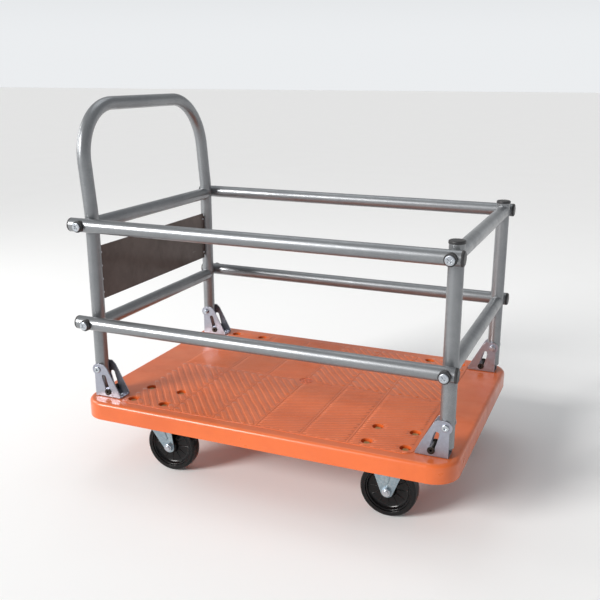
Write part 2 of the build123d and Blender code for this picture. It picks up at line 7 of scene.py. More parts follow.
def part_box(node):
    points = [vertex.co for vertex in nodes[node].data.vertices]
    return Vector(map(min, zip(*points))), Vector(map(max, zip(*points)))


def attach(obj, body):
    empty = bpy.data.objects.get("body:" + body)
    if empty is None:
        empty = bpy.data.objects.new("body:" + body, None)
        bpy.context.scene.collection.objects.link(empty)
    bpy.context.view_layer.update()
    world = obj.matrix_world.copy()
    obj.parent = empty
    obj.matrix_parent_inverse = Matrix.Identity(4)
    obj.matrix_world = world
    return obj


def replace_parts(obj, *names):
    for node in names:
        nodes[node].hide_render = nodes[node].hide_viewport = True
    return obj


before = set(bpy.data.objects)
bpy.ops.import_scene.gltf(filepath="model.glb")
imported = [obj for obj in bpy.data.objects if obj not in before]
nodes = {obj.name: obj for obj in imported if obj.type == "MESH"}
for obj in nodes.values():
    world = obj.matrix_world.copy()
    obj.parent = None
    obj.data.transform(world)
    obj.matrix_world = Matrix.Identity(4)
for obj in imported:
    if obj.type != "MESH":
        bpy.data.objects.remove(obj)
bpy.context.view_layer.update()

sides = ("left", "right")
ends = ("rear", "front")
mm = 0.001
print("frame loaded,", len(nodes), "nodes")


# camera, lights and floor
cameraSettings = {
    "place": (0.742, -1.775, 0.948),
    "lookAt": (-0.0128, 0.0, 0.3995),
    "lens": 48.1,
    "sensor": 36.0,
}

keySettings = {
    "place": (-1.9, -2.5, 1.75),
    "softness": 22.0,           # degrees across, seen from the cart
    "power": 3.35,
    "colour": (1.0, 0.985, 0.965),
}

lightSettings = {
    "leftLight": {"place": (-3.0, -0.4, 1.5), "size": 1.4, "power": 24, "colour": (1.0, 0.99, 0.97)},
    "topLight": {"place": (-0.6, 0.9, 3.0), "size": 2.0, "power": 12, "colour": (0.95, 0.98, 1.0)},
}

floorSettings = {
    "reach": 40.0,
    "colour": (0.94, 0.938, 0.934),
}

airSettings = {
    "colour": (0.96, 0.98, 1.0),
    "horizon": 0.87,            # brightness at eye level
    "overhead": 0.42,
    "fade": (0.03, 0.30),       # height over which one turns into the other
}


def pointAt(obj, target):
    obj.rotation_euler = (Vector(target) - obj.location).to_track_quat("-Z", "Y").to_euler()


def addToScene(name, data):
    obj = bpy.data.objects.new(name, data)
    bpy.context.scene.collection.objects.link(obj)
    return obj


def makeCamera(s):
    data = bpy.data.cameras.new("studioCamera")
    data.sensor_width = s["sensor"]
    data.lens = s["lens"]
    camera = addToScene("studioCamera", data)
    camera.location = s["place"]
    pointAt(camera, s["lookAt"])
    bpy.context.scene.camera = camera


def makeLight(name, s):
    data = bpy.data.lights.new(name, "AREA")
    data.shape = "DISK"
    data.size = s["size"]
    data.energy = s["power"]
    data.color = s["colour"]
    lamp = addToScene(name, data)
    lamp.location = s["place"]
    pointAt(lamp, (0, 0, 0.35))


def makeKey(s):
    data = bpy.data.lights.new("keyLight", "SUN")
    data.angle = radians(s["softness"])
    data.energy = s["power"]
    data.color = s["colour"]
    lamp = addToScene("keyLight", data)
    lamp.location = s["place"]
    pointAt(lamp, (0, 0, 0.35))


makeCamera(cameraSettings)
makeKey(keySettings)
for lightName, lightValues in lightSettings.items():
    makeLight(lightName, lightValues)
bpy.context.scene.view_settings.view_transform = "Standard"
print("camera and lights placed")


# node helpers: every material below is wired with these
def addNode(tree, kind, x, y, **values):
    node = tree.nodes.new("ShaderNode" + kind)
    node.location = (x, y)
    for key, value in values.items():
        if hasattr(node, key):
            setattr(node, key, value)
        else:
            node.inputs[key.replace("_", " ").title()].default_value = value
    return node


def join(tree, source, target):
    tree.links.new(source, target)


def math(tree, operation, x, y, first, second=None, clamp=False):
    node = addNode(tree, "Math", x, y, operation=operation, use_clamp=clamp)
    for socket, value in zip(node.inputs, (first, second)):
        if isinstance(value, bpy.types.NodeSocket):
            join(tree, value, socket)
        elif value is not None:
            socket.default_value = value
    return node.outputs[0]


def spread(tree, x, y, value, fromLow, fromHigh, toLow, toHigh):
    node = addNode(tree, "MapRange", x, y, interpolation_type="SMOOTHSTEP")
    join(tree, value, node.inputs["Value"])
    sockets = ("From Min", "From Max", "To Min", "To Max")
    for name, number in zip(sockets, (fromLow, fromHigh, toLow, toHigh)):
        if isinstance(number, bpy.types.NodeSocket):
            join(tree, number, node.inputs[name])
        else:
            node.inputs[name].default_value = number
    return node.outputs["Result"]


def blendColours(tree, x, y, factor, first, second, mode="MIX"):
    node = addNode(tree, "Mix", x, y, data_type="RGBA", blend_type=mode)
    for socket, value in ((node.inputs[0], factor), (node.inputs[6], first), (node.inputs[7], second)):
        if isinstance(value, bpy.types.NodeSocket):
            join(tree, value, socket)
        elif isinstance(value, tuple):
            socket.default_value = (*value, 1)
        else:
            socket.default_value = value
    return node.outputs[2]


def noiseAt(tree, x, y, place, scale, detail=3.0, roughness=0.55):
    node = addNode(tree, "TexNoise", x, y)
    node.inputs["Detail"].default_value = detail
    node.inputs["Roughness"].default_value = roughness
    join(tree, place, node.inputs["Vector"])
    if isinstance(scale, bpy.types.NodeSocket):
        join(tree, scale, node.inputs["Scale"])
    else:
        node.inputs["Scale"].default_value = scale
    return node.outputs["Fac"]


def stretchedPlace(tree, x, y, place, stretch):
    node = addNode(tree, "Mapping", x, y)
    join(tree, place, node.inputs["Vector"])
    node.inputs["Scale"].default_value = stretch
    return node.outputs["Vector"]


def toLinear(red, green, blue):
    channels = []
    for value in (red / 255, green / 255, blue / 255):
        channels.append(value / 12.92 if value <= 0.04045 else ((value + 0.055) / 1.055) ** 2.4)
    return tuple(channels)


def startGroup(name, inputs, outputs):
    tree = bpy.data.node_groups.new(name, "ShaderNodeTree")
    for label, kind, value in inputs:
        socket = tree.interface.new_socket(name=label, in_out="INPUT", socket_type="NodeSocket" + kind)
        if value is not None:
            socket.default_value = value
    for label, kind in outputs:
        tree.interface.new_socket(name=label, in_out="OUTPUT", socket_type="NodeSocket" + kind)
    return tree, tree.nodes.new("NodeGroupInput").outputs, tree.nodes.new("NodeGroupOutput").inputs


# shared effects
def buildSurfaceDrift():        # slow unevenness of a coat or a moulding, 0 to 1
    tree, given, out = startGroup("surfaceDrift", [("Place", "Vector", None), ("Scale", "Float", 6.0)],
                                  [("Mask", "Float")])
    broad = noiseAt(tree, -600, 100, given["Place"], given["Scale"], 2.0)
    closeScale = math(tree, "MULTIPLY", -800, -150, given["Scale"], 7.3)
    close = noiseAt(tree, -600, -150, given["Place"], closeScale, 4.0)
    both = math(tree, "ADD", -400, 0, math(tree, "MULTIPLY", -500, 100, broad, 0.65),
                math(tree, "MULTIPLY", -500, -150, close, 0.35))
    join(tree, spread(tree, -200, 0, both, 0.34, 0.66, 0.0, 1.0), out["Mask"])
    return tree


def buildFineGrain():           # height of orange peel, mould texture or flake
    tree, given, out = startGroup("fineGrain", [("Place", "Vector", None), ("Scale", "Float", 900.0)],
                                  [("Height", "Float")])
    peel = noiseAt(tree, -600, 100, given["Place"], given["Scale"], 2.0)
    swellScale = math(tree, "MULTIPLY", -800, -150, given["Scale"], 0.11)
    swell = noiseAt(tree, -600, -150, given["Place"], swellScale, 1.0)
    raisedSwell = math(tree, "MULTIPLY", -400, -150, swell, 1.6)
    join(tree, math(tree, "ADD", -300, 0, peel, raisedSwell), out["Height"])
    return tree


def buildHandlingMarks():       # fine scratches in two directions and soft smudges
    tree, given, out = startGroup("handlingMarks", [("Place", "Vector", None), ("Scale", "Float", 1.0)],
                                  [("Scratches", "Float"), ("Smudges", "Float")])
    place = addNode(tree, "VectorMath", -1000, 0, operation="SCALE")
    join(tree, given["Place"], place.inputs[0])
    join(tree, given["Scale"], place.inputs["Scale"])
    lines = []
    for stretch, y in (((14, 420, 60), 300), ((260, 22, 90), 50)):
        streak = noiseAt(tree, -600, y, stretchedPlace(tree, -800, y, place.outputs[0], stretch), 1.0, 2.0)
        lines.append(spread(tree, -400, y, streak, 0.69, 0.74, 0.0, 1.0))
    patch = noiseAt(tree, -600, -200, place.outputs[0], 9.0, 2.0)
    patch = spread(tree, -400, -200, patch, 0.45, 0.7, 0.0, 1.0)
    either = math(tree, "MAXIMUM", -200, 150, lines[0], lines[1])
    join(tree, math(tree, "MULTIPLY", 0, 100, either, patch), out["Scratches"])
    smearPlace = stretchedPlace(tree, -800, -450, place.outputs[0], (11, 17, 6))
    smear = noiseAt(tree, -600, -450, smearPlace, 1.0, 5.0, 0.7)
    join(tree, spread(tree, -400, -450, smear, 0.48, 0.72, 0.0, 1.0), out["Smudges"])
    return tree


def buildEdgeWear():            # corners rubbed by use, and the normal of a slightly broken edge
    tree, given, out = startGroup("edgeWear", [("Place", "Vector", None)],
                                  [("Mask", "Float"), ("Normal", "Vector")])
    broken = addNode(tree, "Bevel", -900, -200, samples=6)
    broken.inputs["Radius"].default_value = 0.45 * mm
    wide = addNode(tree, "Bevel", -900, 100, samples=6)
    wide.inputs["Radius"].default_value = 1.3 * mm
    flat = addNode(tree, "NewGeometry", -900, 350)
    turn = addNode(tree, "VectorMath", -650, 200, operation="DOT_PRODUCT")
    join(tree, wide.outputs[0], turn.inputs[0])
    join(tree, flat.outputs["Normal"], turn.inputs[1])
    edge = spread(tree, -450, 200, turn.outputs["Value"], 0.985, 0.86, 0.0, 1.0)
    chips = noiseAt(tree, -650, -50, given["Place"], 160.0, 4.0)
    chips = spread(tree, -450, -50, chips, 0.42, 0.62, 0.0, 1.0)
    join(tree, math(tree, "MULTIPLY", -200, 100, edge, chips), out["Mask"])
    join(tree, broken.outputs[0], out["Normal"])
    return tree


def buildSettledDust():         # thin dust on faces that look up
    tree, given, out = startGroup("settledDust", [("Place", "Vector", None)], [("Mask", "Float")])
    geometry = addNode(tree, "NewGeometry", -900, 200)
    parts = addNode(tree, "SeparateXYZ", -700, 200)
    join(tree, geometry.outputs["Normal"], parts.inputs[0])
    up = spread(tree, -500, 200, parts.outputs["Z"], 0.55, 0.98, 0.0, 1.0)
    clumps = noiseAt(tree, -700, -50, given["Place"], 26.0, 6.0, 0.7)
    clumps = spread(tree, -500, -50, clumps, 0.35, 0.75, 0.15, 1.0)
    join(tree, math(tree, "MULTIPLY", -250, 100, up, clumps), out["Mask"])
    return tree


effects = {
    "drift": buildSurfaceDrift(),
    "grain": buildFineGrain(),
    "marks": buildHandlingMarks(),
    "wear": buildEdgeWear(),
    "dust": buildSettledDust(),
}
print("shared effects built")


def placeEffect(tree, name, x, y, place, scale=None):
    node = addNode(tree, "Group", x, y, node_tree=effects[name])
    join(tree, place, node.inputs["Place"])
    if scale is not None:
        node.inputs["Scale"].default_value = scale
    return node.outputs


def startFinish(name, s):
    # drift between two colours, marks, worn edges, dust and grain; callers add what is special
    material = bpy.data.materials.new(name)
    material.use_nodes = True
    tree = material.node_tree
    shader = tree.nodes["Principled BSDF"]
    place = addNode(tree, "TexCoord", -1700, 0).outputs["Object"]
    drift = placeEffect(tree, "drift", -1400, 400, place, s["driftScale"])["Mask"]
    marks = placeEffect(tree, "marks", -1400, 150, place, s["markScale"])
    wear = placeEffect(tree, "wear", -1400, -100, place)
    dust = placeEffect(tree, "dust", -1400, -300, place)["Mask"]
    colour = blendColours(tree, -1100, 400, drift, s["colour"], s["driftColour"])
    scratched = math(tree, "MULTIPLY", -1100, 200, marks["Scratches"], s["scratches"])
    colour = blendColours(tree, -900, 350, scratched, colour, s["markColour"])
    worn = math(tree, "MULTIPLY", -1100, 0, wear["Mask"], s["wear"])
    colour = blendColours(tree, -700, 300, worn, colour, s["wearColour"])
    dusty = math(tree, "MULTIPLY", -1100, -250, dust, s["dust"])
    colour = blendColours(tree, -500, 250, dusty, colour, s["dustColour"])
    low, high = s["roughness"]
    rough = spread(tree, -900, -400, drift, 0.0, 1.0, low, high)
    smudged = math(tree, "MULTIPLY", -900, -600, marks["Smudges"], s["smudges"])
    rough = math(tree, "ADD", -700, -400, rough, smudged)
    dulled = math(tree, "MULTIPLY", -700, -600, dusty, 0.5)
    rough = math(tree, "ADD", -500, -400, rough, dulled, clamp=True)
    height = placeEffect(tree, "grain", -1400, -700, place, s["grainScale"])["Height"]
    bump = addNode(tree, "Bump", -300, -500)
    bump.inputs["Strength"].default_value = s["grain"]
    bump.inputs["Distance"].default_value = s["grainDepth"] * mm
    join(tree, height, bump.inputs["Height"])
    join(tree, wear["Normal"], bump.inputs["Normal"])
    join(tree, colour, shader.inputs["Base Color"])
    join(tree, rough, shader.inputs["Roughness"])
    join(tree, bump.outputs["Normal"], shader.inputs["Normal"])
    shader.inputs["Metallic"].default_value = s.get("metallic", 0.0)
    shader.inputs["Coat Weight"].default_value = s.get("coat", 0.0)
    shader.inputs["Coat Roughness"].default_value = s.get("coatRoughness", 0.1)
    shader.inputs["Specular IOR Level"].default_value = s.get("specular", 0.5)
    return {"material": material, "tree": tree, "shader": shader, "place": place, "drift": drift,
            "colour": colour, "rough": rough, "bump": bump, "height": height}


def addHeight(made, extra):
    # one more relief on top of the grain
    total = math(made["tree"], "ADD", -500, -800, made["height"], extra)
    join(made["tree"], total, made["bump"].inputs["Height"])
    made["height"] = total


deckFinish = {
    "colour": toLinear(208, 98, 40), "driftColour": toLinear(198, 89, 35), "driftScale": 5.0,
    "markScale": 1.0, "scratches": 0.22, "markColour": toLinear(238, 150, 104),
    "wear": 0.35, "wearColour": toLinear(240, 140, 92), "dust": 0.10, "dustColour": toLinear(214, 176, 152),
    "roughness": (0.27, 0.36), "smudges": 0.14, "grain": 0.22, "grainScale": 1500.0, "grainDepth": 0.06,
    "coat": 0.25, "coatRoughness": 0.16, "specular": 0.5,
}


def deckPlastic():
    made = startFinish("deckPlastic", deckFinish)
    tree = made["tree"]
    flowPlace = stretchedPlace(tree, -1400, -1000, made["place"], (3.2, 9.0, 5.0))
    flow = noiseAt(tree, -1200, -1000, flowPlace, 1.0, 3.0, 0.5)        # flow lines of the moulding
    tint = spread(tree, -1000, -1000, flow, 0.35, 0.65, 0.0, 0.35)
    colour = blendColours(tree, -200, 200, tint, made["colour"], toLinear(232, 112, 56))
    join(tree, colour, made["shader"].inputs["Base Color"])
    addHeight(made, math(tree, "MULTIPLY", -800, -1000, flow, 2.5))
    return made["material"]


badgeFinish = {**deckFinish, "colour": toLinear(214, 92, 40), "driftColour": toLinear(200, 84, 36),
               "driftScale": 40.0, "wear": 0.7, "dust": 0.2, "grainDepth": 0.1}


def badgePlastic():
    made = startFinish("badgePlastic", badgeFinish)
    tree = made["tree"]
    grime = noiseAt(tree, -1200, -1000, made["place"], 420.0, 4.0)
    grime = spread(tree, -1000, -1000, grime, 0.45, 0.7, 0.0, 0.5)
    colour = blendColours(tree, -200, 200, grime, made["colour"], toLinear(142, 60, 28))
    join(tree, colour, made["shader"].inputs["Base Color"])
    return made["material"]


silverFinish = {
    "colour": toLinear(128, 131, 134), "driftColour": toLinear(115, 118, 122), "driftScale": 7.0,
    "markScale": 1.3, "scratches": 0.25, "markColour": toLinear(158, 158, 158),
    "wear": 0.4, "wearColour": toLinear(165, 164, 160), "dust": 0.08, "dustColour": toLinear(132, 126, 118),
    "roughness": (0.30, 0.38), "smudges": 0.10, "grain": 0.3, "grainScale": 1900.0, "grainDepth": 0.05,
    "metallic": 0.70, "coat": 0.22, "coatRoughness": 0.14,
}


def flakes(made, lightColour, amount):
    # aluminium flake in the paint: each cell a slightly different shade
    tree = made["tree"]
    cells = addNode(tree, "TexVoronoi", -1200, -1000)
    cells.inputs["Scale"].default_value = 2600.0
    join(tree, made["place"], cells.inputs["Vector"])
    shade = addNode(tree, "SeparateColor", -1000, -1000)
    join(tree, cells.outputs["Color"], shade.inputs[0])
    lit = spread(tree, -800, -1000, shade.outputs[0], 0.35, 1.0, 0.0, amount)
    colour = blendColours(tree, -200, 200, lit, made["colour"], lightColour)
    join(tree, colour, made["shader"].inputs["Base Color"])
    made["colour"] = colour


def silverPaint():
    made = startFinish("silverPaint", silverFinish)
    flakes(made, toLinear(168, 169, 170), 0.5)
    return made["material"]


# the silver paint again, made darker and brown: painted shade of a face turned from the lamps, with a
# painted reflection of the orange deck
plateShadedFinish = {**silverFinish, "colour": toLinear(80, 66, 60), "driftColour": toLinear(68, 55, 50),
               "roughness": (0.36, 0.46), "metallic": 0.6, "grainDepth": 0.08, "coat": 0.2}


def shadedPlatePaint():
    made = startFinish("shadedPlatePaint", plateShadedFinish)
    # the flake colour is darkened and browned the same way: painted shade and painted reflection of the
    # deck
    flakes(made, toLinear(98, 84, 78), 0.35)
    tree = made["tree"]
    wave = noiseAt(tree, -1200, -1300, made["place"], 9.0, 1.0)          # thin sheet, never quite flat
    addHeight(made, math(tree, "MULTIPLY", -800, -1300, wave, 9.0))
    return made["material"]


def steelFinish(light, dark, roughness, **changes):
    s = {
        "colour": toLinear(*light), "driftColour": toLinear(*dark), "driftScale": 24.0,
        "markScale": 2.0, "scratches": 0.45, "markColour": toLinear(222, 224, 226),
        "wear": 0.6, "wearColour": toLinear(228, 228, 226),
        "dust": 0.08, "dustColour": toLinear(140, 134, 126),
        "roughness": roughness, "smudges": 0.12, "grain": 0.35, "grainScale": 1300.0, "grainDepth": 0.06,
        "metallic": 1.0,
    }
    s.update(changes)
    return s


bracketFinish = steelFinish((168, 170, 180), (148, 149, 160), (0.30, 0.42), driftScale=18.0)
forkFinish = steelFinish((172, 186, 192), (146, 160, 170), (0.24, 0.38), driftScale=30.0)
boltFinish = steelFinish((200, 204, 208), (180, 184, 190), (0.20, 0.32), driftScale=60.0)
brassyFinish = steelFinish((196, 172, 116), (164, 140, 92), (0.26, 0.42), driftScale=60.0, dust=0.25)
pinFinish = steelFinish((74, 70, 66), (54, 50, 47), (0.30, 0.46), driftScale=60.0, wear=0.8,
                        markColour=toLinear(128, 124, 120), wearColour=toLinear(140, 136, 130))
ballFinish = steelFinish((150, 146, 138), (116, 112, 106), (0.22, 0.40), driftScale=70.0, dust=0.3)


def spangle(made, scale, colour, amount):
    # the crystals of a zinc coat
    tree = made["tree"]
    cells = addNode(tree, "TexVoronoi", -1200, -1000)
    cells.inputs["Scale"].default_value = scale
    join(tree, made["place"], cells.inputs["Vector"])
    shade = addNode(tree, "SeparateColor", -1000, -1000)
    join(tree, cells.outputs["Color"], shade.inputs[0])
    lit = math(tree, "MULTIPLY", -800, -1000, shade.outputs[0], amount)
    mixed = blendColours(tree, -200, 200, lit, made["colour"], colour)
    join(tree, mixed, made["shader"].inputs["Base Color"])
    uneven = math(tree, "MULTIPLY", -600, -1000, shade.outputs[1], 0.1)
    rough = math(tree, "ADD", -300, -300, made["rough"], uneven)
    join(tree, rough, made["shader"].inputs["Roughness"])


def brushing(made, stretch, depth):
    # rolling lines of the sheet
    tree = made["tree"]
    linePlace = stretchedPlace(tree, -1200, -1300, made["place"], stretch)
    lines = noiseAt(tree, -1000, -1300, linePlace, 1.0, 3.0)
    addHeight(made, math(tree, "MULTIPLY", -800, -1300, lines, depth))


def bracketSteel():
    made = startFinish("bracketSteel", bracketFinish)
    spangle(made, 260.0, toLinear(160, 165, 178), 0.35)
    brushing(made, (900, 900, 60), 1.6)
    return made["material"]


def forkZinc():
    made = startFinish("forkZinc", forkFinish)
    spangle(made, 340.0, toLinear(120, 142, 152), 0.5)
    brushing(made, (60, 900, 500), 1.2)
    return made["material"]


def brightZinc():
    made = startFinish("brightZinc", boltFinish)
    spangle(made, 900.0, toLinear(158, 170, 184), 0.4)
    return made["material"]


def yellowZinc():
    made = startFinish("yellowZinc", brassyFinish)
    spangle(made, 700.0, toLinear(204, 150, 96), 0.6)
    return made["material"]


def pinSteel():
    made = startFinish("pinSteel", pinFinish)
    spangle(made, 800.0, toLinear(40, 36, 34), 0.5)
    return made["material"]


def ballSteel():
    made = startFinish("ballSteel", ballFinish)
    spangle(made, 500.0, toLinear(92, 84, 74), 0.6)
    return made["material"]


def darkFinish(shade, drift, roughness, **changes):
    s = {
        "colour": toLinear(*shade), "driftColour": toLinear(*drift), "driftScale": 20.0,
        "markScale": 1.6, "scratches": 0.25, "markColour": toLinear(84, 82, 80),
        "wear": 0.4, "wearColour": toLinear(92, 90, 88),
        "dust": 0.18, "dustColour": toLinear(118, 110, 102),
        "roughness": roughness, "smudges": 0.15, "grain": 0.4, "grainScale": 1100.0, "grainDepth": 0.08,
        "metallic": 0.0,
    }
    s.update(changes)
    return s


capFinish = darkFinish((44, 44, 46), (36, 36, 38), (0.36, 0.48))
wheelFinish = darkFinish((15, 14, 15), (11, 10, 11), (0.14, 0.24), coat=0.12, coatRoughness=0.06, dust=0.02,
                         specular=0.22, markColour=toLinear(48, 46, 46), wear=0.15)
tyreFinish = darkFinish((14, 13, 14), (11, 10, 11), (0.16, 0.28), coat=0.10, coatRoughness=0.08, dust=0.03,
                        specular=0.22, markColour=toLinear(48, 46, 46), wear=0.15)


def blackPlastic():
    made = startFinish("blackPlastic", capFinish)
    tree = made["tree"]
    bloom = noiseAt(tree, -1200, -1000, made["place"], 60.0, 5.0)
    bloom = spread(tree, -1000, -1000, bloom, 0.4, 0.8, 0.0, 0.3)
    colour = blendColours(tree, -200, 200, bloom, made["colour"], toLinear(78, 76, 76))
    join(tree, colour, made["shader"].inputs["Base Color"])
    return made["material"]


def wheelPlastic():
    made = startFinish("wheelPlastic", wheelFinish)
    tree = made["tree"]
    flow = noiseAt(tree, -1200, -1000, made["place"], 34.0, 3.0)
    addHeight(made, math(tree, "MULTIPLY", -800, -1000, flow, 3.0))
    return made["material"]


def tyreRubber():
    made = startFinish("tyreRubber", tyreFinish)
    tree = made["tree"]
    around = stretchedPlace(tree, -1400, -1000, made["place"], (60, 900, 60))
    turned = noiseAt(tree, -1200, -1000, around, 1.0, 3.0)              # faint lines left by the mould
    addHeight(made, math(tree, "MULTIPLY", -800, -1000, turned, 1.5))
    scuff = noiseAt(tree, -1200, -1300, made["place"], 90.0, 6.0, 0.7)
    scuff = spread(tree, -1000, -1300, scuff, 0.5, 0.8, 0.0, 0.25)
    colour = blendColours(tree, -200, 200, scuff, made["colour"], toLinear(36, 34, 33))
    join(tree, colour, made["shader"].inputs["Base Color"])
    return made["material"]


finishes = {
    "deck_plastic": deckPlastic(),
    "badge_plastic": badgePlastic(),
    "silver_paint": silverPaint(),
    "plate_paint": shadedPlatePaint(),
    "bracket_steel": bracketSteel(),
    "fork_zinc": forkZinc(),
    "bright_zinc": brightZinc(),
    "yellow_zinc": yellowZinc(),
    "pin_steel": pinSteel(),
    "ball_steel": ballSteel(),
    "black_plastic": blackPlastic(),
    "wheel_plastic": wheelPlastic(),
    "tyre_rubber": tyreRubber(),
}


def dressFrame():
    for obj in nodes.values():
        for slot in obj.material_slots:
            slot.material = finishes[slot.material.name.split(".")[0]]


dressFrame()
print("finishes made and put on the frame")


# mesh helpers
def makePiece(name, points, faces, body, slotName, smooth=True):
    mesh = bpy.data.meshes.new(name)
    mesh.from_pydata(points, [], faces)
    mesh.validate()
    mesh.update()
    for polygon in mesh.polygons:
        polygon.use_smooth = smooth
    mesh.materials.append(finishes[slotName])
    obj = addToScene(name, mesh)
    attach(obj, body)
    return obj


def addShell(points, faces, rings, closedRing=True, capEnds=True):
    # a skin over equal rings of points; each ring is a list of places
    start = len(points)
    count = len(rings[0])
    for ring in rings:
        points.extend(tuple(place) for place in ring)
    around = count if closedRing else count - 1
    for index in range(len(rings) - 1):
        for step in range(around):
            first = start + index * count + step
            second = start + index * count + (step + 1) % count
            faces.append((first, second, second + count, first + count))
    if capEnds:
        faces.append(tuple(range(start + count - 1, start - 1, -1)))
        last = start + (len(rings) - 1) * count
        faces.append(tuple(range(last, last + count)))


def addLoop(points, faces, rings):
    # like addShell, with the last ring joined to the first
    start = len(points)
    count = len(rings[0])
    for ring in rings:
        points.extend(tuple(place) for place in ring)
    for index in range(len(rings)):
        here = start + index * count
        there = start + (index + 1) % len(rings) * count
        for step in range(count):
            after = (step + 1) % count
            faces.append((here + step, here + after, there + after, there + step))


def nodeMiddle(name):
    low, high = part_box(name)
    return (low + high) / 2


def roundCorner(centre, radius, fromAngle, toAngle, steps):
    return [(centre[0] + radius * cos(radians(fromAngle + (toAngle - fromAngle) * i / steps)),
             centre[1] + radius * sin(radians(fromAngle + (toAngle - fromAngle) * i / steps)))
            for i in range(steps + 1)]


# the ribbed pattern of the load face
treadSettings = {
    "marginX": 96 * mm,          # deck end to the load face
    "marginY": 28 * mm,          # deck side to the load face
    "keepIn": 4 * mm,            # ribs stop this far inside the load face
    "dividers": (-221, -111, -2, 109, 217),      # millimetres from the deck's middle
    "dividerGap": 3.2 * mm,
    "dividerHalfWidth": 1.6 * mm,
    "ribPitch": 9 * mm,
    "ribAngle": 23,              # degrees from the deck's length
    "ribHalfWidth": 2.6 * mm,
    "plankPitch": 17 * mm,
    "plankAngle": -52,
    "plankHalfWidth": 6.2 * mm,
    "ribHeight": 0.55 * mm,
    "plankHeight": 0.38 * mm,
    "dividerHeight": 0.5 * mm,
    "sink": 0.15 * mm,
    "waver": 1.7 * mm,           # how far a rib wanders sideways
    "waverScale": 22,            # wanders to the metre
    "waverSlice": 3.1,
    "walk": 1.5 * mm,            # step of the search along a line
    "stride": 9 * mm,            # distance between the points of a rib
    "pocketRadius": 14.5 * mm,
    "badgeRadius": 21.5 * mm,
    "boltPatternX": 86 * mm,
    "boltPatternY": 80 * mm,
}


def pocketPlaces(s):
    places = []
    for side in sides:
        for name in (side + "_swivel_plate", side + "_fixed_fork"):
            middle = nodeMiddle(name)
            for across in (-0.5, 0.5):
                for along in (-0.5, 0.5):
                    x = middle.x + across * s["boltPatternX"]
                    places.append((x, middle.y + along * s["boltPatternY"]))
    return places


def ribSection(s, width, height, base):
    # low rounded ridge, sunk a little at its foot
    outline = [(-width, -s["sink"]), (-width, 0.12 * height), (-0.72 * width, 0.62 * height),
               (-0.34 * width, 0.93 * height), (0, height), (0.34 * width, 0.93 * height),
               (0.72 * width, 0.62 * height), (width, 0.12 * height), (width, -s["sink"])]
    return [(across, base + up) for across, up in outline]


def addRib(points, faces, s, path, width, height, base):
    rings = []
    for index, (x, y) in enumerate(path):
        before = path[max(index - 1, 0)]
        after = path[min(index + 1, len(path) - 1)]
        length = hypot(after[0] - before[0], after[1] - before[1])
        side = (-(after[1] - before[1]) / length, (after[0] - before[0]) / length)
        atEnd = index in (0, len(path) - 1)
        lift = 0.35 if atEnd else 1.0
        slim = 0.6 if atEnd else 1.0
        section = ribSection(s, width * slim, height * lift, base)
        rings.append([(x + side[0] * across, y + side[1] * across, up) for across, up in section])
    addShell(points, faces, rings)


def makeTread(s):
    deckLow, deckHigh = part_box("deck")
    middle = (deckLow + deckHigh) / 2
    badge = nodeMiddle("deck_badge")
    reachX = (deckHigh.x - deckLow.x) / 2 - s["marginX"] - s["keepIn"]
    reachY = (deckHigh.y - deckLow.y) / 2 - s["marginY"] - s["keepIn"]
    holes = [(x, y, s["pocketRadius"]) for x, y in pocketPlaces(s)]
    holes.append((badge.x, badge.y, s["badgeRadius"]))
    dividers = [middle.x + place * mm for place in s["dividers"]]
    edges = [middle.x - reachX, *dividers, middle.x + reachX]
    points, faces = [], []

    def clear(x, y):
        return all(hypot(x - hx, y - hy) > radius for hx, hy, radius in holes)

    def followLine(origin, direction, low, high, halfWidth, height):
        # walk along one line, keep what lies inside the field and off the pockets
        span = 2 * (reachX + reachY)
        count = int(span / s["walk"])
        run = []
        for step in range(count + 1):
            along = (step / count - 0.5) * span
            x = origin[0] + direction[0] * along
            y = origin[1] + direction[1] * along
            inside = low[0] < x < high[0] and low[1] < y < high[1] and clear(x, y)
            if inside:
                run.append((x, y))
            if run and (not inside or step == count):
                if hypot(run[-1][0] - run[0][0], run[-1][1] - run[0][1]) > 3 * s["stride"] / 2:
                    every = int(s["stride"] / s["walk"])
                    kept = run[::every] if (len(run) - 1) % every == 0 else run[::every] + [run[-1]]
                    bent = []
                    for px, py in kept:
                        place = Vector((px * s["waverScale"], py * s["waverScale"], s["waverSlice"]))
                        sway = noise.noise(place) * s["waver"]
                        bent.append((px - direction[1] * sway, py + direction[0] * sway))
                    addRib(points, faces, s, bent, halfWidth, height, deckHigh.z)
                run = []

    for index in range(len(edges) - 1):
        for half in (-1, 1):
            low = (edges[index] + s["dividerGap"], s["dividerGap"] if half > 0 else -reachY)
            high = (edges[index + 1] - s["dividerGap"], reachY if half > 0 else -s["dividerGap"])
            kind = "plank" if (index < len(edges) // 2) == (half < 0) else "rib"
            angle = radians(s[kind + "Angle"])
            direction = (cos(angle), sin(angle))
            centre = ((low[0] + high[0]) / 2, (low[1] + high[1]) / 2)
            lines = int((reachX + reachY) / s[kind + "Pitch"])
            for line in range(-lines, lines + 1):
                offset = line * s[kind + "Pitch"]
                origin = (centre[0] - direction[1] * offset, centre[1] + direction[0] * offset)
                followLine(origin, direction, low, high, s[kind + "HalfWidth"], s[kind + "Height"])
    for place in dividers:
        followLine((place, 0), (0, 1), (place - 1, -reachY), (place + 1, reachY), s["dividerHalfWidth"],
                   s["dividerHeight"])
    tread = makePiece("deck_tread", points, faces, "platform", "deck_plastic")
    print("tread ribs:", len(faces), "faces")
    return tread


makeTread(treadSettings)


# the badge in the middle of the deck: a ring and a plain rosette
badgeSettings = {
    "ringRadius": 16.4 * mm,
    "ringWidth": 0.9 * mm,
    "ringHeight": 0.9 * mm,
    "petals": 6,
    "petalReach": (5.0 * mm, 14.0 * mm),
    "petalWidth": 2.6 * mm,
    "petalHeight": 0.8 * mm,
    "hubRadius": 3.2 * mm,
}


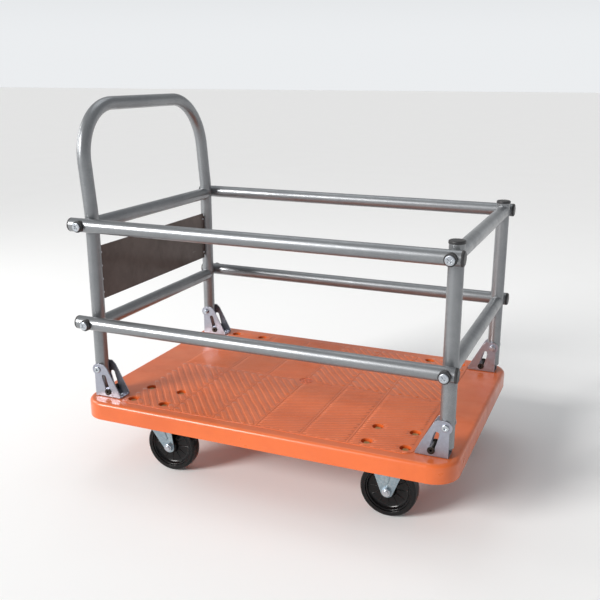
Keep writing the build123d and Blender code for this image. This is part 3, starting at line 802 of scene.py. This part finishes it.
def makeBadge(s):
    low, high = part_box("deck_badge")
    middle = (low + high) / 2
    top = high.z
    points, faces = [], []
    for radius, width in ((s["ringRadius"], s["ringWidth"]), (s["hubRadius"], s["ringWidth"] * 0.8)):
        rings = []
        for step in range(64):
            turn = 2 * pi * step / 64
            ring = []
            for across, up in ((-1, -0.2), (-0.8, 0.7), (0, 1), (0.8, 0.7), (1, -0.2)):
                reach = radius + across * width
                place = (middle.x + reach * cos(turn), middle.y + reach * sin(turn))
                ring.append((*place, top + up * s["ringHeight"]))
            rings.append(ring)
        addLoop(points, faces, rings)
    near, far = s["petalReach"]
    for petal in range(s["petals"]):
        turn = 2 * pi * petal / s["petals"]
        rings = []
        for step in range(9):
            share = step / 8
            reach = near + (far - near) * share
            width = s["petalWidth"] * (0.15 + sin(pi * share) ** 0.6 if 0 < step < 8 else 0.12)
            lift = s["petalHeight"] * (0.25 + 0.75 * sin(pi * share))
            ring = []
            for across, up in ((-1, -0.2), (-0.7, 0.6), (0, 1), (0.7, 0.6), (1, -0.2)):
                x = reach * cos(turn) - across * width * sin(turn)
                y = reach * sin(turn) + across * width * cos(turn)
                ring.append((middle.x + x, middle.y + y, top + up * lift))
            rings.append(ring)
        addShell(points, faces, rings)
    return makePiece("badge_rosette", points, faces, "platform", "badge_plastic")


makeBadge(badgeSettings)
print("badge made")


# wheels: a turned tyre and a dished, ribbed centre in place of the plain ones
tyreSettings = {
    "crown": 0.7 * mm,           # how much lower the tread's edges are than its middle
    "shoulder": 5.0 * mm,
    "ringReach": 0.82,           # the raised ring on the sidewall, as a share of the wheel's radius
    "ringHeight": 0.9 * mm,
    "ringWidth": 1.3 * mm,
    "sidewallSink": 1.1 * mm,
    "segments": 96,
}


def tyreProfile(s, outer, inner, half):
    # one side from the tread's middle to the bore, as (reach, out)
    shoulder = s["shoulder"]
    ring = s["ringReach"] * outer
    low = half - s["sidewallSink"]
    line = [(outer, 0), (outer - 0.15 * s["crown"], half * 0.35)]
    centre = (outer - s["crown"] - shoulder, half - shoulder)
    line += [(reach, out) for reach, out in roundCorner(centre, shoulder, 8, 82, 6)]
    line += [(outer - s["crown"] - shoulder - 1.2 * mm, half - 0.15 * mm),
             (ring + 2.1 * s["ringWidth"], low),
             (ring + 1.0 * s["ringWidth"], low + 0.1 * s["ringHeight"]),
             (ring + 0.45 * s["ringWidth"], low + 0.85 * s["ringHeight"]),
             (ring, low + s["ringHeight"]),
             (ring - 0.45 * s["ringWidth"], low + 0.85 * s["ringHeight"]),
             (ring - 0.9 * s["ringWidth"], low + 0.1 * s["ringHeight"]),
             (inner, low - 0.4 * mm)]
    return line


def turnProfile(points, faces, middle, line, segments):
    rings = []
    for step in range(segments):
        turn = 2 * pi * step / segments
        rings.append([(middle.x + reach * cos(turn), middle.y + out, middle.z + reach * sin(turn))
                      for reach, out in line])
    addLoop(points, faces, rings)


def makeTyre(s, name, body):
    low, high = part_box(name)
    coreLow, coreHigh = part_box(name.replace("tyre", "wheel_core"))
    middle = (low + high) / 2
    outer = (high.z - low.z) / 2
    half = (high.y - low.y) / 2
    inner = (coreHigh.z - coreLow.z) / 2
    oneSide = tyreProfile(s, outer, inner, half)
    otherSide = [(reach, -out) for reach, out in reversed(oneSide[1:])]
    line = oneSide + otherSide
    points, faces = [], []
    turnProfile(points, faces, middle, line, s["segments"])
    tyre = makePiece(name + "_turned", points, faces, body, "tyre_rubber")
    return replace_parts(tyre, name)


coreSettings = {
    "rimLip": 13.4 * mm,         # half width at the rim
    "rimDepth": 4.0 * mm,
    "web": 5.5 * mm,             # half thickness of the web
    "hubRadius": 16.5 * mm,
    "boreRadius": 11.1 * mm,
    "ribs": 12,
    "ribWidth": 1.3 * mm,
    "ribRise": 2.4 * mm,
    "segments": 96,
}


def coreProfile(s, outer, hubHalf):
    rim = outer - s["rimDepth"]
    side = [(outer, s["rimLip"] - 0.5 * mm), (outer - 0.5 * mm, s["rimLip"]), (rim + 0.6 * mm, s["rimLip"]),
            (rim, s["rimLip"] - 0.7 * mm), (rim - 1.6 * mm, s["web"] + 3.2 * mm),
            (rim - 4.4 * mm, s["web"] + 0.7 * mm), (rim - 8 * mm, s["web"]),
            (s["hubRadius"] + 7 * mm, s["web"]), (s["hubRadius"] + 3 * mm, s["web"] + 1.0 * mm),
            (s["hubRadius"] + 1.0 * mm, s["web"] + 3.6 * mm), (s["hubRadius"], hubHalf - 1.4 * mm),
            (s["hubRadius"] - 1.0 * mm, hubHalf - 0.3 * mm), (s["hubRadius"] - 2.0 * mm, hubHalf),
            (s["boreRadius"], hubHalf)]
    return side + [(reach, -out) for reach, out in reversed(side)]


def addSpoke(points, faces, s, middle, turn, side, near, far, rise):
    # a rib that falls from the hub towards the rim
    rings = []
    for step in range(7):
        share = step / 6
        reach = near + (far - near) * share
        top = s["web"] + rise * (1 - 0.72 * sin(pi / 2 * share))
        ring = []
        for across, out in ((-1, s["web"] - 0.6 * mm), (-0.75, top - 0.5 * mm), (-0.3, top),
                            (0.3, top), (0.75, top - 0.5 * mm), (1, s["web"] - 0.6 * mm)):
            x = reach * cos(turn) - across * s["ribWidth"] * sin(turn)
            z = reach * sin(turn) + across * s["ribWidth"] * cos(turn)
            ring.append((middle.x + x, middle.y + side * out, middle.z + z))
        rings.append(ring if side > 0 else ring[::-1])
    addShell(points, faces, rings)


def makeCore(s, name, body):
    low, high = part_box(name)
    middle = (low + high) / 2
    outer = (high.z - low.z) / 2
    hubHalf = (high.y - low.y) / 2
    points, faces = [], []
    turnProfile(points, faces, middle, coreProfile(s, outer, hubHalf), s["segments"])
    near = s["hubRadius"] - 0.5 * mm
    far = outer - s["rimDepth"] - 0.3 * mm
    for side in (-1, 1):
        for rib in range(s["ribs"]):
            addSpoke(points, faces, s, middle, 2 * pi * rib / s["ribs"], side, near, far, s["ribRise"])
    core = makePiece(name + "_turned", points, faces, body, "wheel_plastic")
    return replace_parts(core, name)


for end in ends:
    for side in sides:
        wheel = end + "_" + side
        makeTyre(tyreSettings, wheel + "_tyre", wheel + "_wheel")
        makeCore(coreSettings, wheel + "_wheel_core", wheel + "_wheel")
print("wheels made")


# weld beads where each cross bar meets a leg
weldSettings = {"bead": 1.7 * mm, "ripple": 0.25 * mm, "ripples": 46, "steps": 184, "around": 8}


def makeWelds(s, name, barNode, tubeRadius, legY, body):
    low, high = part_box(barNode)
    x = (low.x + high.x) / 2
    points, faces = [], []
    for z in (low.z + tubeRadius, high.z - tubeRadius):
        for side in (-1, 1):
            path = []
            for step in range(s["steps"]):
                turn = 2 * pi * step / s["steps"]
                out = legY - tubeRadius * abs(sin(turn))
                path.append(Vector((x + tubeRadius * cos(turn), side * out, z + tubeRadius * sin(turn))))
            rings = []
            for step, place in enumerate(path):
                turn = 2 * pi * step / s["steps"]
                outward = Vector((cos(turn), -0.4 * side, sin(turn))).normalized()
                along = (path[(step + 1) % len(path)] - path[step - 1]).normalized()
                across = along.cross(outward).normalized()
                size = s["bead"] + s["ripple"] * sin(turn * s["ripples"])
                centre = place - outward * s["bead"] * 0.35
                ring = []
                for corner in range(s["around"]):
                    angle = 2 * pi * corner / s["around"]
                    ring.append(centre + (outward * sin(angle) + across * cos(angle)) * size)
                rings.append(ring)
            addLoop(points, faces, rings)
    return makePiece(name, points, faces, body, "silver_paint")


handleBushLow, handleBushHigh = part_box("handle_bushes")
railLow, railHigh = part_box("left_upper_rail")
tubeRadius = (railHigh.z - railLow.z) / 2
legSpread = handleBushHigh.y - tubeRadius
makeWelds(weldSettings, "handle_welds", "handle_bars", tubeRadius, legSpread, "handle")
makeWelds(weldSettings, "gate_welds", "gate_bars", tubeRadius, legSpread, "gate")
print("weld beads made")


def makeStage(s):
    mesh = bpy.data.meshes.new("studioFloor")
    reach = s["reach"]
    mesh.from_pydata([(-reach, -reach, 0), (reach, -reach, 0), (reach, reach, 0), (-reach, reach, 0)], [],
                     [(0, 1, 2, 3)])
    floor = addToScene("studioFloor", mesh)
    material = bpy.data.materials.new("paleFloor")
    material.use_nodes = True
    tree = material.node_tree
    shader = tree.nodes["Principled BSDF"]
    place = addNode(tree, "TexCoord", -900, 0).outputs["Object"]
    mottle = noiseAt(tree, -700, 0, place, 3.0, 4.0)
    colour = blendColours(tree, -400, 0, mottle, s["colour"], tuple(0.97 * value for value in s["colour"]))
    join(tree, colour, shader.inputs["Base Color"])
    join(tree, spread(tree, -400, -250, mottle, 0.3, 0.7, 0.75, 0.9), shader.inputs["Roughness"])
    mesh.materials.append(material)


def makeAir(s):
    # pale at eye level and dimmer overhead, as in a studio with a lit wall
    world = bpy.data.worlds.new("studioAir")
    world.use_nodes = True
    tree = world.node_tree
    back = tree.nodes["Background"]
    back.inputs["Color"].default_value = (*s["colour"], 1)
    parts = addNode(tree, "SeparateXYZ", -600, 0)
    join(tree, addNode(tree, "TexCoord", -800, 0).outputs["Generated"], parts.inputs[0])
    low, high = s["fade"]
    join(tree, spread(tree, -400, 0, parts.outputs["Z"], low, high, s["horizon"], s["overhead"]),
         back.inputs["Strength"])
    bpy.context.scene.world = world


makeStage(floorSettings)
makeAir(airSettings)
print("floor laid")
